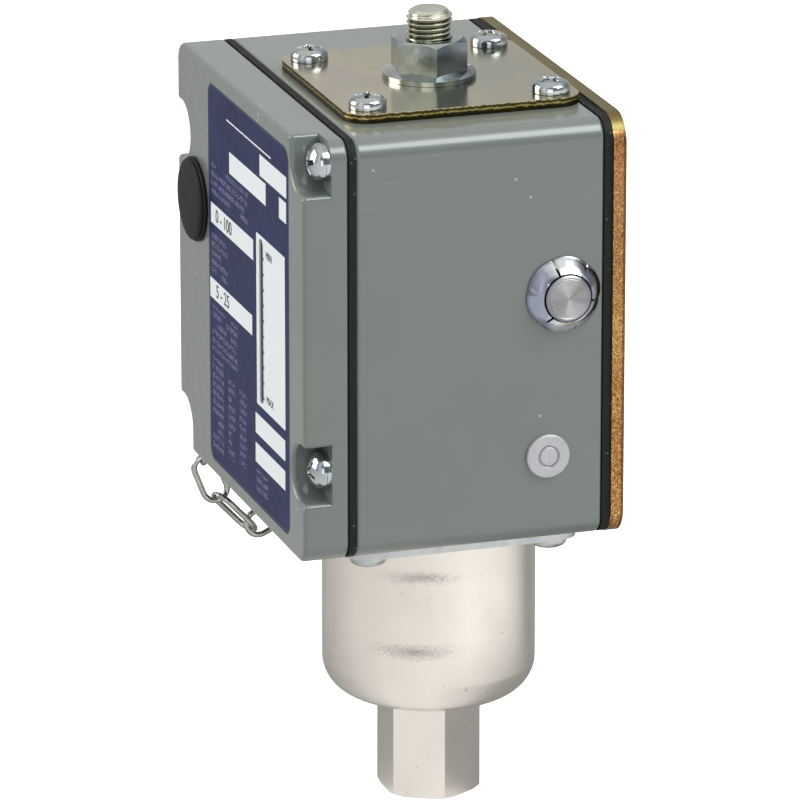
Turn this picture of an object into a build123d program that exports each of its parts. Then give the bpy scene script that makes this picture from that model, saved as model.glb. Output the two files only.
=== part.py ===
# Differential pressure switch: a die-cast case with a gasketed front cover and back plate,
# a bellows housing and hex pressure connection below, a range adjusting screw above,
# and the lever train, range spring and snap switch inside.
# Millimetres. The front cover faces -Y and +X is the side with the shaft cap.
# The origin is the mouth of the pressure port, and the screw, spring and bellows share the Z axis.
from build123d import *
from math import cos, radians, sin
import os

os.makedirs("parts", exist_ok=True)

# Case
face_width = 88.0
face_height = 88.0
case_depth = 52.5
case_wall = 3.2
corner_radius = 4.0
inner_corner_radius = 0.8
axis_to_right_face = 36.8
axis_to_front_rim = 27.5
rim_radius = 0.9
pad_height = 2.0
pad_margin = 1.0
element_opening_radius = 13.0
screw_opening_radius = 11.5

# Cover, gaskets and back plate
front_gasket_thickness = 1.5
rear_gasket_thickness = 1.8
gasket_width = 4.6
cover_depth = 9.6
cover_wall = 2.6
cover_edge_radius = 0.9
flange_thickness = 3.6
pocket_radius = 6.0
pocket_wall = 1.8
pocket_shift = 1.5
cover_screw_inset = 4.0
cover_screw_drop = 4.7
side_pocket_height = 18.8
back_plate_thickness = 2.7
back_plate_overhang = 0.5
back_plate_corner = 6.0
boss_radius = 5.0
boss_length = 11.5
pin_boss_length = 4.0
pin_boss_wall = 2.4
blind_depth = 2.2

# Label recess, scale slot and hole plug
label_left_margin = 22.4
label_height = 81.6
label_right_margin = 9.5
label_thickness = 0.4
label_corner = 3.0
scale_slot_width = 2.5
scale_slot_height = 35.0
scale_slot_x = 7.8
scale_middle_above_bottom = 43.3
window_margin = 1.5
window_thickness = 1.0
plug_radius = 9.0
plug_head = 2.0
plug_stem_radius = 6.2
plug_hold = 1.2
plug_from_left = 13.0
plug_below_top = 31.2

# Pressure element below the case
hex_flats = 19.05
hex_length = 22.0
port_radius = 5.56
port_depth = 14.0
passage_radius = 1.6
spigot_radius = 6.0
cup_radius = 22.3
cup_height = 37.8
cup_wall = 1.6
cup_bottom_radius = 7.0
bellows_radius = 17.0
bellows_root_radius = 13.0
bellows_wall = 0.5
bellows_length = 28.0
bellows_folds = 5
push_rod_radius = 2.5
rod_hole_radius = 6.0

# Plates above and below, with the same screw square
plate_side = 50.0
plate_corner = 5.0
plate_screw_spacing = 39.0
top_plate_thickness = 2.0
bottom_plate_thickness = 2.4
top_boss_radius = 3.8
top_boss_length = 6.0

# Range screw, nut, carriage and spring
stud_radius = 4.7625
stud_above_plate = 14.2
stud_chamfer = 0.9
lead_screw_radius = 4.0
collar_radius = 9.0
collar_thickness = 2.2
nut_flats = 14.29
nut_flange_radius = 9.65
nut_flange_height = 1.9
nut_height = 8.2
nut_turn = -7.4
carriage_radius = 11.5
carriage_thickness = 4.0
carriage_below_top = 42.0
carriage_travel = 8.0
guide_post_x = 17.0
guide_post_radius = 2.0
guide_lug_wall = 2.0
pointer_width = 3.0
pointer_thickness = 1.0
pointer_standoff = 1.3
pointer_root_y = 3.0
pointer_drop = 4.0
spring_radius = 7.0
spring_wire_radius = 0.8
spring_turns = 5

# Lever train
lever_pin_y = 13.2
lever_pin_above_bottom = 18.4
pin_radius = 3.0
barrel_wall = 1.9
barrel_overhang = 6.0
lever_thickness = 3.0
saddle_half_width = 13.0
saddle_front = 14.0
rivet_radius = 4.65
rivet_height = 0.9
shaft_y = 16.3
shaft_below_top = 35.6
shaft_end_radius = 4.8
shaft_end_height = 3.8
cap_flats = 14.4
cap_height = 2.9
cap_thickness = 1.0
link_y = -10.0
link_radius = 2.0
lever_arm_half_width = 4.0
trip_from_left = 9.2
trip_right = -18.0
trip_front = -12.0
trip_below_shaft = 4.6
trip_thickness = 2.5

# Snap switch, bracket, differential dial and terminals
bracket_y = -15.0
bracket_thickness = 1.6
guide_tab_drop = 4.0
bracket_flange_rear = 6.0
bracket_screw_y = -4.0
bracket_screw_drop = 4.0
bracket_screw_spacing = 10.0
switch_screw_inset = 4.5
switch_screw_drop = 5.0
switch_from_plug = 4.2
switch_from_trip = 1.0
switch_depth = 18.4
switch_height = 22.5
switch_gap = 4.0
plunger_radius = 1.6
plunger_bore_depth = 7.0
plunger_hold = 3.0
plunger_y = -6.0
dial_radius = 7.0
dial_thickness = 6.0
dial_gap = 3.0
dial_shaft_radius = 2.0
cam_radius = 3.0
cam_offset = 0.6
cam_length = 4.0
leaf_width = 4.0
leaf_thickness = 0.4
block_from_left = 11.2
block_depth = 14.0
block_height = 10.0
block_width = 24.0
block_front = -22.0
terminal_count = 3
terminal_recess = 3.0
terminal_wall = 0.9
terminal_sill = 1.5
conduit_radius = 11.1
conduit_above_pin = 12.6
ground_x = 24.0
ground_y = -14.0

# Screws
head_radius = 3.9
head_height = 2.7
shank_radius = 2.0
recess_length = 4.4
recess_width = 0.9
recess_depth = 1.2
small_head_radius = 2.5
small_head_height = 1.6
small_slot_width = 0.8
small_shank_radius = 1.3
small_screw_hold = 2.0
terminal_screw_length = 5.6
switch_screw_hold = 4.6

# Retaining chain
chain_wire = 0.68
chain_half_width = 2.6
chain_links = 5
chain_from_left = 10.8
chain_span = 27.8
chain_sag = 16.0
chain_behind_front = 1.7
eye_radius = 2.0
eye_below_case = 1.0
eye_stem_depth = 1.8

# Clearances
running_gap = 0.08
touch_gap = 0.05
free_gap = 0.15

# Derived levels and faces
right = axis_to_right_face
left = right - face_width
front = -axis_to_front_rim
rear = front + case_depth
cup_top = hex_length + cup_height
case_bottom = cup_top + bottom_plate_thickness + pad_height
case_top = case_bottom + face_height
plate_top = case_top + top_plate_thickness
middle_x = (left + right) / 2
middle_z = (case_bottom + case_top) / 2
cover_rear = front - front_gasket_thickness
cover_front = cover_rear - cover_depth
flange_face = cover_rear - flange_thickness
back_plate_front = rear + rear_gasket_thickness
back_face = back_plate_front + back_plate_thickness
inner_left = left + case_wall
inner_right = right - case_wall
inner_bottom = case_bottom + case_wall
inner_top = case_top - case_wall

lever_pin_z = case_bottom + lever_pin_above_bottom
barrel_radius = pin_radius + running_gap + barrel_wall
arm_bottom = lever_pin_z - 1.0
arm_top = arm_bottom + lever_thickness
shaft_z = case_top - shaft_below_top
trip_bottom = shaft_z - trip_below_shaft
trip_top = trip_bottom + trip_thickness
carriage_z = case_top - carriage_below_top
carriage_bottom = carriage_z - carriage_thickness / 2
screw_end = carriage_z - carriage_travel - carriage_thickness / 2 - 2.0
switch_bottom = trip_top + switch_gap
trip_left = left + trip_from_left
link_x = (trip_left + trip_right) / 2
trip_window_margin = (trip_right - trip_left) / 3
plug_x = left + plug_from_left
chain_x = left + chain_from_left
switch_right = trip_right + switch_from_trip
switch_left = plug_x + switch_from_plug
plunger_x = (switch_left + switch_right) / 2
plug_z = case_top - plug_below_top
dial_z = plug_z
bracket_back = bracket_y + bracket_thickness
bracket_top = switch_bottom + switch_height
guide_z = (arm_top + trip_bottom) / 2
scale_z = case_bottom + scale_middle_above_bottom
label_right = right - label_right_margin
label_left = left + label_left_margin
label_width = label_right - label_left
label_middle_x = (label_left + label_right) / 2

# Screw places on the face: the pattern is the same turned half a turn
corner_offset = (face_width / 2 - cover_screw_inset, face_height / 2 - cover_screw_drop)
side_offset = (face_width / 2 - cover_screw_inset, side_pocket_height - face_height / 2)
plate_screws = [(x * plate_screw_spacing / 2, y * plate_screw_spacing / 2) for x in (-1, 1) for y in (-1, 1)]
rear_screws = [(middle_x + i * corner_offset[0], middle_z + j * corner_offset[1])
               for i in (-1, 1) for j in (-1, 1)]
cover_screw_places = [(middle_x + s * dx, middle_z + s * dz)
                      for s in (1, -1) for dx, dz in (corner_offset, side_offset)]


def box(x0, x1, y0, y1, z0, z1):
    return Pos((x0 + x1) / 2, (y0 + y1) / 2, (z0 + z1) / 2) * Box(x1 - x0, y1 - y0, z1 - z0)


def rod_x(y, z, x0, x1, radius):
    return Pos((x0 + x1) / 2, y, z) * Rot(0, 90, 0) * Cylinder(radius, x1 - x0)


def rod_y(x, z, y0, y1, radius):
    return Pos(x, (y0 + y1) / 2, z) * Rot(90, 0, 0) * Cylinder(radius, y1 - y0)


def rod_z(x, y, z0, z1, radius):
    return Pos(x, y, (z0 + z1) / 2) * Cylinder(radius, z1 - z0)


def face_prism(y0, y1, inset, radius):
    """The case's rounded outline, drawn in by inset, from y0 back to y1."""
    plane = Plane((middle_x, y0, middle_z), x_dir=(1, 0, 0), z_dir=(0, 1, 0))
    outline = RectangleRounded(face_width - 2 * inset, face_height - 2 * inset, radius)
    return extrude(plane * outline, amount=y1 - y0)


def one_solid(shape):
    solids = shape.solids()
    return solids[0] if len(solids) == 1 else Compound(children=list(solids))


def pan_screw(shank_length):
    """A cross-recess pan head screw: head on top of Z = 0, shank below."""
    head = Cylinder(head_radius, head_height, align=(Align.CENTER, Align.CENTER, Align.MIN))
    head = fillet(head.edges().group_by(Axis.Z)[-1], min(head_height, head_radius) * 0.55)
    for turn in (0, 90):
        head -= Pos(0, 0, head_height) * Rot(0, 0, turn) * Box(recess_length, recess_width, 2 * recess_depth)
    return head + Cylinder(shank_radius, shank_length, align=(Align.CENTER, Align.CENTER, Align.MAX))


def small_screw(shank_length):
    """A slotted cheese head screw: head on top of Z = 0, shank below."""
    head = Cylinder(small_head_radius, small_head_height, align=(Align.CENTER, Align.CENTER, Align.MIN))
    head -= Pos(0, 0, small_head_height) * Box(3 * small_head_radius, small_slot_width, small_head_height)
    return head + Cylinder(small_shank_radius, shank_length, align=(Align.CENTER, Align.CENTER, Align.MAX))


def hexagon(flats, turn=0.0):
    return RegularPolygon(flats / 2, 6, major_radius=False, rotation=turn)


def make_housing():
    """A cast tube, open at the front and back, with bosses for every screw and pin."""
    shell = face_prism(front, rear, 0, corner_radius)
    rims = shell.faces().sort_by(Axis.Y)[0].edges() + shell.faces().sort_by(Axis.Y)[-1].edges()
    shell = fillet(rims, rim_radius)
    shell -= face_prism(front, rear, case_wall, max(corner_radius - case_wall, inner_corner_radius))
    pad = plate_side / 2 + pad_margin
    shell += box(-pad, pad, -pad, min(pad, rear), case_bottom - pad_height, case_bottom)
    inside = face_prism(front, rear, case_wall / 2, corner_radius)
    bosses = [rod_y(x, z, front, front + boss_length, boss_radius) for x, z in cover_screw_places]
    bosses += [rod_y(x, z, rear - boss_length, rear, boss_radius) for x, z in rear_screws]
    bosses += [rod_z(x, y, inner_top - top_boss_length, case_top, top_boss_radius) for x, y in plate_screws]
    bosses += [rod_x(y, z, left, inner_left + pin_boss_length, pin_radius + pin_boss_wall)
               for y, z in ((lever_pin_y, lever_pin_z), (shaft_y, shaft_z))]
    for boss in bosses:
        shell += boss & inside
    for x, z in cover_screw_places:
        shell -= rod_y(x, z, front, front + boss_length - 1.0, shank_radius + running_gap)
    for x, z in rear_screws:
        shell -= rod_y(x, z, rear - boss_length + 1.0, rear, shank_radius)
    for x, y in plate_screws:
        shell -= rod_z(x, y, inner_top - top_boss_length + 1.0, case_top, shank_radius)
        shell -= rod_z(x, y, case_bottom - pad_height, inner_bottom, shank_radius)
    shell -= rod_z(0, 0, inner_top, case_top, screw_opening_radius)
    shell -= rod_z(0, 0, case_bottom - pad_height, inner_bottom, element_opening_radius)
    shell -= rod_z(guide_post_x, 0, inner_top, case_top - 1.0, guide_post_radius)
    shell -= rod_x(lever_pin_y, lever_pin_z, inner_left + 1.0, right, pin_radius)
    shell -= rod_x(shaft_y, shaft_z, inner_left + 1.0, right, pin_radius)
    shell -= rod_x(shaft_y, shaft_z, inner_right, right, shaft_end_radius)
    shell -= rod_x(0, conduit_z, left, inner_left, conduit_radius)
    for z in bracket_screw_levels:
        shell -= rod_x(bracket_screw_y, z, inner_left - blind_depth, inner_left, small_shank_radius)
    shell -= rod_z(ground_x, ground_y, inner_bottom - blind_depth, inner_bottom, small_shank_radius)
    shell -= rod_z(chain_x, chain_rear_y, case_bottom, case_bottom + eye_stem_depth, chain_wire)
    return shell


def pocket(sign, grow, y0, y1, corner):
    """The space a cover screw stands in, open to the cover's edge and, at a corner, to its end."""
    dx, dz = corner_offset if corner else side_offset
    x, z = middle_x + sign * (dx + pocket_shift), middle_z + sign * dz
    reach = pocket_radius + grow
    side = middle_x + sign * (face_width / 2 + 1)
    end = middle_z + sign * (face_height / 2 + 1)
    space = rod_y(x, z, y0, y1, reach)
    space += box(min(x, side), max(x, side), y0, y1, z - reach, z + reach)
    if corner:
        inner = x - sign * reach
        space += box(min(inner, side), max(inner, side), y0, y1, min(z, end), max(z, end))
    return space


def on_outline(point):
    across, up = abs(point.X - middle_x), abs(point.Z - middle_z)
    return abs(across - face_width / 2) < 1e-3 or abs(up - face_height / 2) < 1e-3


def make_cover():
    """The die-cast cover: a shallow shell that follows its four open screw pockets."""
    cover = face_prism(cover_front, cover_rear, 0, corner_radius)
    cover = fillet(cover.faces().sort_by(Axis.Y)[-1].edges(), rim_radius)
    hollow = face_prism(cover_front + cover_wall, cover_rear, cover_wall,
                        max(corner_radius - cover_wall, inner_corner_radius))
    for sign in (1, -1):
        for corner in (True, False):
            hollow -= pocket(sign, pocket_wall, cover_front, cover_rear, corner)
            cover -= pocket(sign, 0, cover_front - 1, flange_face, corner)
    depth = flange_face - cover_front
    cover = fillet([e for e in cover.edges().filter_by(Axis.Y)
                    if abs(e.length - depth) < 1e-3 and on_outline(e.center())], cover_edge_radius)
    cover = fillet(cover.faces().sort_by(Axis.Y)[0].edges(), cover_edge_radius)
    cover -= hollow
    for x, z in cover_screw_places:
        cover -= rod_y(x, z, flange_face, cover_rear, shank_radius)
    cover -= label_prism(cover_front, cover_front + label_thickness, 0)
    cover -= slot_prism(cover_front, cover_front + cover_wall, 0)
    cover -= rod_y(plug_x, plug_z, cover_front, cover_front + cover_wall, plug_stem_radius + running_gap)
    cover -= rod_z(chain_x, chain_front_y, case_bottom, case_bottom + eye_stem_depth, chain_wire)
    return cover


def label_prism(y0, y1, inset):
    plane = Plane((label_middle_x, y0, middle_z), x_dir=(1, 0, 0), z_dir=(0, 1, 0))
    outline = RectangleRounded(label_width - 2 * inset, label_height - 2 * inset, label_corner)
    return extrude(plane * outline, amount=y1 - y0)


def slot_prism(y0, y1, grow):
    plane = Plane((scale_slot_x, y0, scale_z), x_dir=(1, 0, 0), z_dir=(0, 1, 0))
    outline = RectangleRounded(scale_slot_width + 2 * grow, scale_slot_height + 2 * grow, 1.0)
    return extrude(plane * outline, amount=y1 - y0)


def make_front_gasket():
    sheet = face_prism(cover_rear, front, 0, corner_radius)
    window = face_prism(cover_rear, front, gasket_width, corner_radius)
    for x, z in cover_screw_places:
        window -= rod_y(x, z, cover_rear, front, boss_radius)
    sheet -= window
    for x, z in cover_screw_places:
        sheet -= rod_y(x, z, cover_rear, front, shank_radius + free_gap)
    return sheet


def make_rear_gasket():
    outline = face_prism(rear, back_plate_front, 0, corner_radius)
    sheet = outline - face_prism(rear, back_plate_front, gasket_width, corner_radius)
    for x, z in rear_screws:
        sheet += rod_y(x, z, rear, back_plate_front, boss_radius) & outline
    for x, z in rear_screws:
        sheet -= rod_y(x, z, rear, back_plate_front, shank_radius + free_gap)
    return sheet


def countersunk_screw():
    """A flat head screw seen from behind the back plate, its face flush with the plate."""
    ends = (Align.CENTER, Align.CENTER, Align.MAX)
    screw = Cone(shank_radius, head_radius, head_radius - shank_radius, align=ends)
    screw += Cylinder(shank_radius, back_face - rear + boss_length - 2.0, align=ends)
    for turn in (0, 90):
        screw -= Rot(0, 0, turn) * Box(recess_length, recess_width, 1.2 * recess_depth)
    return screw


def make_back_plate():
    plate = face_prism(back_plate_front, back_face, -back_plate_overhang, back_plate_corner)
    for x, z in rear_screws:
        seat = Cone(shank_radius, head_radius, head_radius - shank_radius,
                    align=(Align.CENTER, Align.CENTER, Align.MAX))
        plate -= Pos(x, back_face, z) * Rot(-90, 0, 0) * seat
        plate -= rod_y(x, z, back_plate_front, back_face, shank_radius)
    return plate


def square_plate(z0, z1, hole_radius):
    plate = Pos(0, 0, z0) * extrude(RectangleRounded(plate_side, plate_side, plate_corner), amount=z1 - z0)
    plate -= rod_z(0, 0, z0, z1, hole_radius)
    for x, y in plate_screws:
        plate -= rod_z(x, y, z0, z1, shank_radius)
    return plate


def make_range_screw():
    top = plate_top + stud_above_plate
    stud = rod_z(0, 0, collar_bottom, top, stud_radius)
    stud = chamfer(stud.edges().group_by(Axis.Z)[-1], stud_chamfer)
    return stud + rod_z(0, 0, screw_end, collar_bottom, lead_screw_radius)


def make_range_nut():
    """A flanged hex nut: sloped flange, chamfered hexagon."""
    seat = plate_top + touch_gap
    rim = 0.5 * nut_flange_height
    flange = rod_z(0, 0, seat, seat + rim, nut_flange_radius)
    slope = Cone(nut_flange_radius, nut_flats / 2, nut_flange_height - rim,
                 align=(Align.CENTER, Align.CENTER, Align.MIN))
    body = Pos(0, 0, seat) * extrude(hexagon(nut_flats, nut_turn), amount=nut_height)
    crown_radius = nut_flats / 2 / cos(radians(30))
    crown = Cone(crown_radius + nut_height * 1.7, nut_flats / 2 - 0.3, nut_height,
                 align=(Align.CENTER, Align.CENTER, Align.MIN))
    body &= Pos(0, 0, seat) * crown
    nut = flange + Pos(0, 0, seat + rim) * slope + body
    return nut - rod_z(0, 0, seat, seat + nut_height, stud_radius)


def make_carriage():
    carriage = rod_z(0, 0, carriage_bottom, carriage_bottom + carriage_thickness, carriage_radius)
    carriage_top = carriage_bottom + carriage_thickness
    lug = guide_post_radius + guide_lug_wall
    carriage += rod_z(guide_post_x, 0, carriage_bottom, carriage_top, lug)
    carriage += box(0, guide_post_x, -lug, lug, carriage_bottom, carriage_top)
    carriage -= rod_z(guide_post_x, 0, carriage_bottom, carriage_top, guide_post_radius + running_gap)
    return carriage - rod_z(0, 0, carriage_bottom, carriage_top, lead_screw_radius + running_gap)


def make_pointer():
    """A bent strip from the carriage to just behind the scale window."""
    top = carriage_bottom + carriage_thickness
    tip_y = window_back + pointer_standoff
    x0, x1 = scale_slot_x - pointer_width / 2, scale_slot_x + pointer_width / 2
    strip = box(x0, x1, tip_y, pointer_root_y, top, top + pointer_thickness)
    strip += box(x0, x1, tip_y, tip_y + pointer_thickness, top - pointer_drop, top + pointer_thickness)
    return strip


def make_spring():
    """The range spring: ground ends on the lever's saddle and under the carriage."""
    low = arm_top + spring_wire_radius
    high = carriage_bottom - spring_wire_radius
    path = Helix(pitch=(high - low) / spring_turns, height=high - low, radius=spring_radius)
    path = Pos(0, 0, low) * path
    section = Plane(path @ 0, z_dir=path % 0) * Circle(spring_wire_radius)
    return sweep(section, path=path)


def make_cup():
    """The drawn bellows housing, welded to the bottom plate."""
    with BuildSketch(Plane.XZ) as section:
        with BuildLine():
            Polyline((spigot_radius, hex_length), (cup_radius, hex_length), (cup_radius, cup_top),
                     (cup_radius - cup_wall, cup_top), (cup_radius - cup_wall, hex_length + cup_wall),
                     (spigot_radius, hex_length + cup_wall), (spigot_radius, hex_length))
        make_face()
        corners = section.vertices()
        outer = corners.sort_by_distance((cup_radius, 0, hex_length))[0]
        inner = corners.sort_by_distance((cup_radius - cup_wall, 0, hex_length + cup_wall))[0]
        fillet(outer, cup_bottom_radius)
        fillet(inner, cup_bottom_radius - cup_wall)
    return revolve(section.sketch, Axis.Z)


def make_connection():
    body = extrude(hexagon(hex_flats), amount=hex_length)
    corner = hex_flats / 2 / cos(radians(30))
    crown = Cone(hex_flats / 2, hex_flats / 2 + hex_length * 1.7, hex_length,
                 align=(Align.CENTER, Align.CENTER, Align.MIN))
    body &= Pos(0, 0, -0.25) * crown + rod_z(0, 0, 1.0, hex_length, corner)
    body += rod_z(0, 0, hex_length, hex_length + cup_wall, spigot_radius)
    body -= rod_z(0, 0, 0, port_depth, port_radius)
    return body - rod_z(0, 0, port_depth, hex_length + cup_wall, passage_radius)


def make_bellows():
    """The metal bellows: its mouth is welded under the bottom plate, its blind end carries the rod."""
    low = cup_top - bellows_length
    fold = (bellows_length - 2 * bellows_wall) / bellows_folds
    outer = [(bellows_root_radius, low)]
    for i in range(bellows_folds):
        z = low + bellows_wall + i * fold
        outer += [(bellows_root_radius, z), (bellows_radius, z + fold / 2)]
    outer += [(bellows_root_radius, cup_top - bellows_wall), (bellows_root_radius, cup_top)]
    inner = [(r - 1.6 * bellows_wall, max(z, low + bellows_wall)) for r, z in outer[1:]]
    rim = outer[1:]
    with BuildSketch(Plane.XZ) as section:
        with BuildLine():
            Polyline((0, low), outer[0], *rim, *reversed(inner), (0, low + bellows_wall), (0, low))
        make_face()
    return revolve(section.sketch, Axis.Z)


def dome_rod(x, y, z0, z1, radius, ends):
    """A rod along Z with a round nose at the ends named by -1 and 1."""
    low = z0 + (radius if -1 in ends else 0)
    high = z1 - (radius if 1 in ends else 0)
    rod = rod_z(x, y, low, high, radius)
    for end in ends:
        rod += Pos(x, y, high if end > 0 else low) * Sphere(radius)
    return rod


def make_main_lever():
    """A saddle under the spring, hung on the lower pin, with a side arm under the trip link."""
    barrel_half = saddle_half_width + barrel_overhang
    lever = rod_x(lever_pin_y, lever_pin_z, -barrel_half, barrel_half, barrel_radius)
    lever += box(-saddle_half_width, saddle_half_width, -saddle_front, lever_pin_y, arm_bottom, arm_top)
    half = lever_arm_half_width
    lever += box(link_x - half, 0, link_y - half, link_y + half, arm_bottom, arm_top)
    lever += rod_z(0, 0, arm_top, arm_top + 1.6, spring_radius - spring_wire_radius - 0.3)
    return lever - rod_x(lever_pin_y, lever_pin_z, left, right, pin_radius + running_gap)


def make_trip_lever():
    lever = rod_x(shaft_y, shaft_z, trip_left, trip_right, barrel_radius)
    lever += box(trip_left, trip_right, trip_front, shaft_y, trip_bottom, trip_top)
    lever -= box(trip_left + trip_window_margin, trip_right - trip_window_margin, 0, shaft_y - barrel_radius,
                 trip_bottom, trip_top)
    return lever - rod_x(shaft_y, shaft_z, left, right, pin_radius + running_gap)


def make_pivot_shaft():
    shaft = rod_x(shaft_y, shaft_z, inner_left + 1.0, inner_right, pin_radius)
    end = rod_x(shaft_y, shaft_z, inner_right, right + shaft_end_height, shaft_end_radius)
    return shaft + chamfer(end.edges().group_by(Axis.X)[-1], 0.3)


def make_shaft_cap():
    """A dished push-on retainer with six lobes and six gripping tongues."""
    plane = Plane((right, shaft_y, shaft_z), x_dir=(0, 1, 0), z_dir=(1, 0, 0))
    rim = cap_flats / 2 / cos(radians(30))
    blank = extrude(fillet(hexagon(cap_flats).vertices(), 2.2), amount=cap_height + cap_thickness)
    shell = Cone(rim, shaft_end_radius, cap_height, align=(Align.CENTER, Align.CENTER, Align.MIN))
    over = Cone(rim + cap_thickness, shaft_end_radius + cap_thickness, cap_height,
                align=(Align.CENTER, Align.CENTER, Align.MIN))
    cap = (over - shell) & blank
    for i in range(6):
        turn = Rot(0, 0, 60 * i + 30)
        cap -= turn * Pos(shaft_end_radius + 0.6, 0, cap_height / 2) * Box(2.2, 0.8, 2 * cap_height)
    return plane.location * cap


def make_lever_pin():
    pin = rod_x(lever_pin_y, lever_pin_z, inner_left + 1.0, right, pin_radius)
    head = rod_x(lever_pin_y, lever_pin_z, right, right + rivet_height, rivet_radius)
    return pin + fillet(head.edges().group_by(Axis.X)[-1], 0.5)


def make_bracket():
    """A bent sheet bracket: switch plate, wall flange and the trip link's guide tab."""
    bracket = box(inner_left, switch_right, bracket_y, bracket_back, guide_z - guide_tab_drop, bracket_top)
    bracket += box(inner_left, inner_left + bracket_thickness, bracket_y, bracket_flange_rear,
                   trip_bottom, bracket_top)
    half = lever_arm_half_width
    bracket += box(link_x - half, link_x + half, bracket_y, link_y + half, guide_z, guide_z + bracket_thickness)
    bracket -= rod_z(link_x, link_y, guide_z, guide_z + bracket_thickness, link_radius + running_gap)
    bracket -= rod_y(plug_x, dial_z, bracket_y, bracket_back, dial_shaft_radius + running_gap)
    for x, z in switch_screw_places:
        bracket -= rod_y(x, z, bracket_y, bracket_back, small_shank_radius)
    for z in bracket_screw_levels:
        bracket -= rod_x(bracket_screw_y, z, inner_left, inner_left + bracket_thickness, small_shank_radius)
    return bracket


def make_switch():
    rear_face = bracket_back + switch_depth
    body = box(switch_left, switch_right, bracket_back, rear_face, switch_bottom, bracket_top)
    body = fillet(body.edges().filter_by(Axis.Y), 1.2)
    bore_top = switch_bottom + plunger_bore_depth
    body -= rod_z(plunger_x, plunger_y, switch_bottom, bore_top, plunger_radius + running_gap)
    for x, z in switch_screw_places:
        body -= rod_y(x, z, bracket_back, bracket_back + switch_screw_hold + 0.4, small_shank_radius)
    return body


def make_dial():
    """The slotted knob behind the cover's plug, on a shaft through the bracket."""
    knob_back = bracket_y - dial_gap
    knob = rod_y(plug_x, dial_z, knob_back - dial_thickness, knob_back, dial_radius)
    knob -= box(plug_x - dial_radius, plug_x + dial_radius, knob_back - dial_thickness,
                knob_back - dial_thickness + 2.0, dial_z - 0.8, dial_z + 0.8)
    for i in range(12):
        angle = radians(30 * i)
        x, z = plug_x + dial_radius * cos(angle), dial_z + dial_radius * sin(angle)
        knob -= rod_y(x, z, knob_back - dial_thickness, knob_back, 0.6)
    return knob + rod_y(plug_x, dial_z, knob_back, cam_front + cam_length, dial_shaft_radius)


def make_leaf():
    """The differential leaf spring: clamped on the trip lever, bowed up to the cam."""
    crest = dial_z - cam_radius - free_gap
    under = [(4.0, trip_top), (-2.0, trip_top), (cam_middle, crest - leaf_thickness),
             (cam_front + 0.6, crest - 2 * leaf_thickness)]
    over = [(y, z + leaf_thickness) for y, z in reversed(under)]
    side = Plane((plug_x - leaf_width / 2, 0, 0), x_dir=(0, 1, 0), z_dir=(1, 0, 0))
    return extrude(side * make_face(Polyline(*under, *over, under[0])), amount=leaf_width)


def make_terminal_block():
    block = box(block_left, block_right, block_front, block_front + block_depth, inner_bottom,
                inner_bottom + block_height)
    for x in terminal_places:
        half = terminal_pitch / 2 - terminal_wall
        floor = inner_bottom + terminal_sill
        block -= box(x - half, x + half, block_front, terminal_y, floor, inner_bottom + block_height)
        block -= rod_y(x, terminal_z, terminal_y, terminal_y + 1.1 * terminal_screw_length, small_shank_radius)
    return block


def ring_link(start, end, across):
    """A chain link between two pull points: a stadium of wire in the plane of its line and across."""
    direction = (end - start).normalized()
    reach = chain_wire + touch_gap
    straight = (end - start).length + 2 * reach - 2 * chain_half_width
    plane = Plane((start + end) * 0.5, x_dir=direction, z_dir=direction.cross(across))
    loop = SlotCenterToCenter(straight, 2 * chain_half_width).edges()
    path = Wire(plane * edge for edge in loop)
    section = Plane(path @ 0, z_dir=path % 0) * Circle(chain_wire)
    return sweep(section, path=path)


def chain_line():
    """Pull points at equal steps along a hanging curve from the cover's eye to the case's eye."""
    steps = 400
    curve = []
    for i in range(steps + 1):
        t = 2 * i / steps - 1
        y = chain_front_y + chain_span * (t + 1) / 2
        curve.append(Vector(chain_x, y, eye_pull_z - chain_sag * (1 - t * t)))
    travelled = [0.0]
    for a, b in zip(curve, curve[1:]):
        travelled.append(travelled[-1] + (b - a).length)
    points = []
    for k in range(chain_links + 1):
        target = travelled[-1] * k / chain_links
        nearest = min(range(steps + 1), key=lambda i: abs(travelled[i] - target))
        points.append(curve[nearest])
    return points


def make_eye(y):
    """A wire eye: a ring in the XZ plane and a stem driven up into the casting."""
    ring = Pos(chain_x, y, eye_z) * Rot(90, 0, 0) * Torus(eye_radius, chain_wire)
    return ring + rod_z(chain_x, y, eye_z + eye_radius, case_bottom + eye_stem_depth, chain_wire)


# Places worked out from the sizes above
collar_bottom = case_top - touch_gap - collar_thickness
window_back = cover_front + cover_wall + window_thickness
conduit_z = lever_pin_z + conduit_above_pin
bracket_screw_levels = [bracket_top - bracket_screw_drop - i * bracket_screw_spacing for i in (0, 1)]
switch_screw_places = ((switch_left + switch_screw_inset, bracket_top - switch_screw_drop),
                       (switch_right - switch_screw_inset, switch_bottom + switch_screw_inset))
cam_front = bracket_back + 1.0
cam_middle = cam_front + cam_length / 2
block_left = left + block_from_left
block_right = block_left + block_width
terminal_pitch = block_width / terminal_count
terminal_places = [block_left + (i + 0.5) * terminal_pitch for i in range(terminal_count)]
terminal_y = block_front + terminal_recess
terminal_z = inner_bottom + 0.6 * block_height
chain_front_y = cover_front + chain_behind_front
chain_rear_y = chain_front_y + chain_span
eye_z = case_bottom - eye_below_case - eye_radius - chain_wire
eye_pull_z = eye_z - eye_radius + chain_wire + touch_gap / 2

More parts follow.
